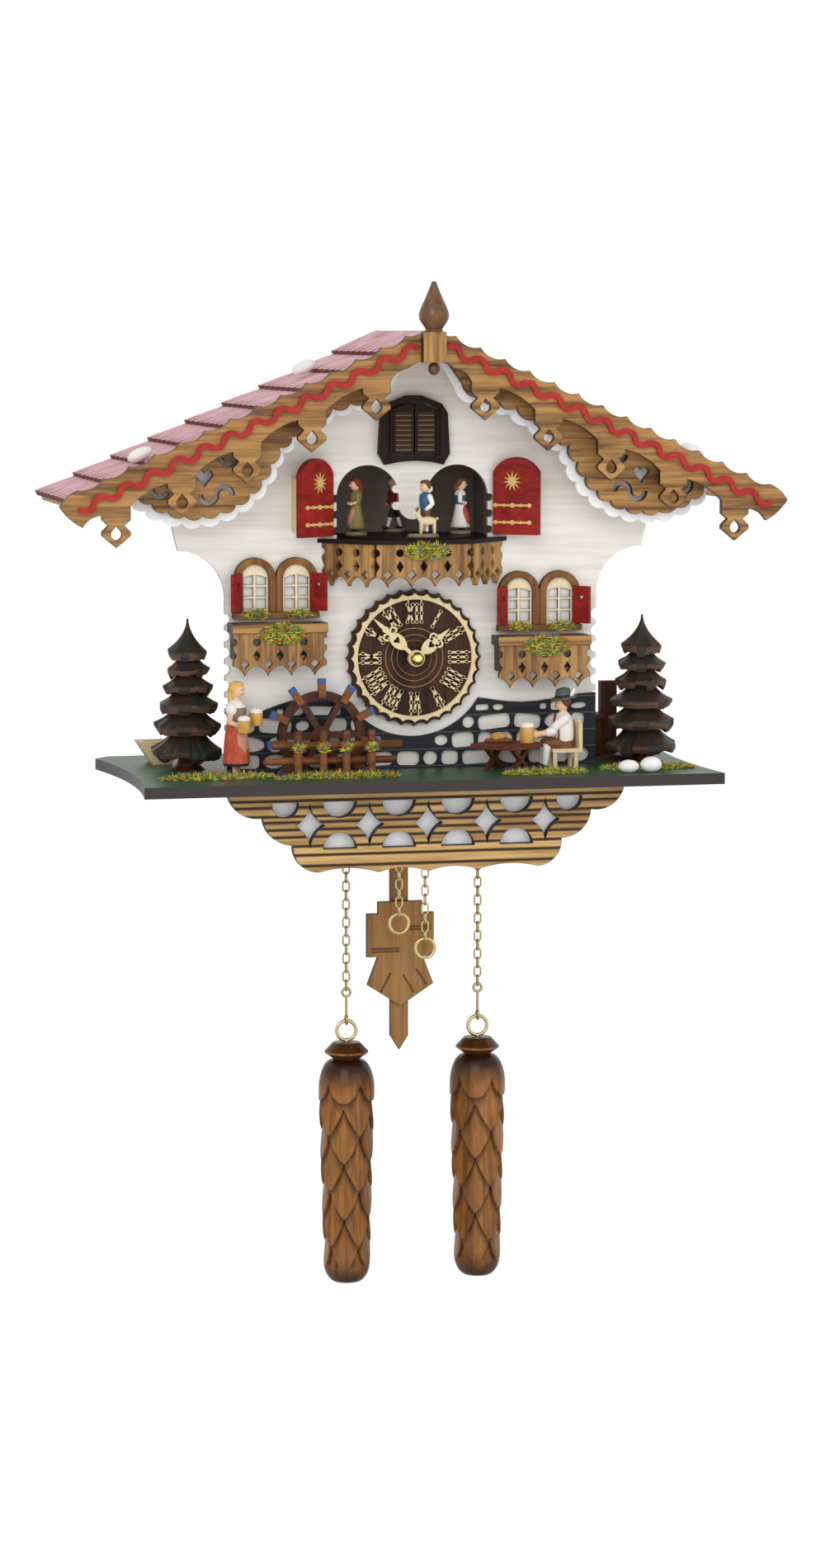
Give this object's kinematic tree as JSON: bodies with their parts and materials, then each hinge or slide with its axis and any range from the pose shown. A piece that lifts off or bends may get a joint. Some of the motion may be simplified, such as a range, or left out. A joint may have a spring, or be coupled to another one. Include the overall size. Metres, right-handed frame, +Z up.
{
  "type": "cuckoo clock",
  "caption": "Chalet cuckoo clock with shingled roof, carved trim, dancers on a turning stage, mill wheel, yard figures, pendulum and pine cone weights on chains.",
  "frame": {"origin": "centre of the hanger hole on the back face of the back board", "axes": "+Z up, +Y into the wall, -Y to the front, +X to the right seen from the front"},
  "size_m": [0.3912, 0.155, 0.5395],
  "materials": {
    "white_wood": "matt white paint",
    "carved_wood": "satin oiled, dark burnt edges",
    "bracket_wood": "satin oiled, dark burnt edges",
    "lace_wood": "satin stained",
    "red_trim": "satin red paint",
    "shingle_wood": "matt red stain",
    "dark_wood": "matt dark stain",
    "louvre_wood": "satin stained",
    "shutter_red": "satin red paint",
    "gold_paint": "satin gold",
    "pale_wood": "satin, natural",
    "frame_wood": "satin stained",
    "dial_wood": "satin dark stain",
    "stone_black": "matt black stain",
    "green_board": "matt green stain",
    "grey_board": "matt pale paint",
    "case_wood": "matt, natural",
    "brass": "satin",
    "cone_brown": "gloss brown paint",
    "fir_dark": "matt dark green-brown stain",
    "flowers": "matt, mixed colours",
    "pebble": "matt",
    "black_plastic": "matt",
    "figure_paint": "matt paint, mixed colours",
    "yard_wood": "matt stained"
  },
  "bodies": {
    "case": {"back_board": "case_wood", "balcony_floor": "dark_wood", "balcony_panels": "carved_wood", "bargeboard_left": "carved_wood", "bargeboard_right": "carved_wood", "barmaid": "figure_paint", "base_plate": "green_board", "bird_shelf": "case_wood", "bracket_backing": "grey_board", "bracket_front": "bracket_wood", "chain_staples": "brass", "cuckoo_frame": "dark_wood", "dial": "dial_wood", "drinker": "figure_paint", "drive_motors": "black_plastic", "facade": "white_wood", "fence": "yard_wood", "finial": "frame_wood", "fir_trees": "fir_dark", "flower_boxes": "carved_wood", "flower_clumps": "flowers", "gable_backing": "white_wood", "gable_lace": "lace_wood", "garden_furniture": "pale_wood", "loudspeaker": "black_plastic", "movement_housing": "black_plastic", "numeral_ring": "pale_wood", "pebbles": "pebble", "red_shutters": "shutter_red", "roof_boards": "case_wood", "shingles_left": "shingle_wood", "shingles_right": "shingle_wood", "shutter_ornaments": "gold_paint", "shutter_props": "pale_wood", "side_walls": "case_wood", "stage_lining": "dark_wood", "stone_cladding": "stone_black", "trough": "pale_wood", "wavy_trim": "red_trim", "window_frames": "frame_wood", "window_sashes": "pale_wood", "wood_rack": "yard_wood"},
    "minute": {"minute_hand": "pale_wood", "hand_nut": "brass"},
    "hour": {"hour_hand": "pale_wood"},
    "knob": {"setting_knob": "black_plastic"},
    "bird": {"cuckoo_bird": "figure_paint"},
    "leaf_left": {"cuckoo_leaf_left": "louvre_wood"},
    "leaf_right": {"cuckoo_leaf_right": "louvre_wood"},
    "carousel": {"turntable": "dark_wood", "dancers": "figure_paint"},
    "wheel": {"mill_wheel": "yard_wood"},
    "forearm": {"drinker_arm": "figure_paint"},
    "pendulum": {"pendulum": "carved_wood"},
    "weight_left": {"chain_left": "brass", "cone_left": "cone_brown"},
    "weight_right": {"chain_right": "brass", "cone_right": "cone_brown"},
    "pull_left": {"ring_chain_left": "brass"},
    "pull_right": {"ring_chain_right": "brass"}
  },
  "joints": [
    {"name": "minute_turn", "type": "hinge", "parent": "case", "child": "minute", "pos_m": [0, -0.101, -0.1304], "axis": [0, 1, 0], "continuous": true},
    {"name": "hour_turn", "type": "hinge", "parent": "case", "child": "hour", "pos_m": [0, -0.099, -0.1304], "axis": [0, 1, 0], "continuous": true},
    {"name": "knob_turn", "type": "hinge", "parent": "case", "child": "knob", "pos_m": [0.014, -0.062, -0.118], "axis": [0, 1, 0], "continuous": true},
    {"name": "bird_slide", "type": "slide", "parent": "case", "child": "bird", "axis": [0, -1, 0], "range_m": [0, 0.028]},
    {"name": "leaf_left_swing", "type": "hinge", "parent": "case", "child": "leaf_left", "pos_m": [-0.0129, -0.097, -0.01], "axis": [0, 0, -1], "range_deg": [0, 110]},
    {"name": "leaf_right_swing", "type": "hinge", "parent": "case", "child": "leaf_right", "pos_m": [0.0129, -0.097, -0.01], "axis": [0, 0, 1], "range_deg": [0, 110]},
    {"name": "carousel_turn", "type": "hinge", "parent": "case", "child": "carousel", "pos_m": [0, -0.082, -0.065], "axis": [0, 0, 1], "continuous": true},
    {"name": "wheel_turn", "type": "hinge", "parent": "case", "child": "wheel", "pos_m": [-0.0522, -0.102, -0.1703], "axis": [0, 1, 0], "continuous": true},
    {"name": "forearm_lift", "type": "hinge", "parent": "case", "child": "forearm", "pos_m": [0.0705, -0.12, -0.1695], "axis": [0, 1, 0], "range_deg": [0, 75]},
    {"name": "pendulum_swing", "type": "hinge", "parent": "case", "child": "pendulum", "pos_m": [0, -0.058, -0.15], "axis": [0, 1, 0], "range_deg": [-6, 6]},
    {"name": "weight_left_swing", "type": "hinge", "parent": "case", "child": "weight_left", "pos_m": [-0.0365, -0.091, -0.203], "axis": [0, 1, 0], "range_deg": [-4, 12]},
    {"name": "weight_right_swing", "type": "hinge", "parent": "case", "child": "weight_right", "pos_m": [0.0365, -0.091, -0.203], "axis": [0, 1, 0], "range_deg": [-12, 4]},
    {"name": "pull_left_swing", "type": "hinge", "parent": "case", "child": "pull_left", "pos_m": [-0.0072, -0.091, -0.2026], "axis": [0, 1, 0], "range_deg": [-2, 6]},
    {"name": "pull_right_swing", "type": "hinge", "parent": "case", "child": "pull_right", "pos_m": [0.0072, -0.091, -0.2067], "axis": [0, 1, 0], "range_deg": [-6, 2]}
  ],
  "couplings": [
    {"joint": "hour_turn", "follows": "minute_turn", "ratio": 0.083333},
    {"joint": "knob_turn", "follows": "minute_turn", "ratio": -1},
    {"joint": "leaf_left_swing", "follows": "bird_slide", "rad_per_m": 62.33},
    {"joint": "leaf_right_swing", "follows": "bird_slide", "rad_per_m": 62.33}
  ]
}
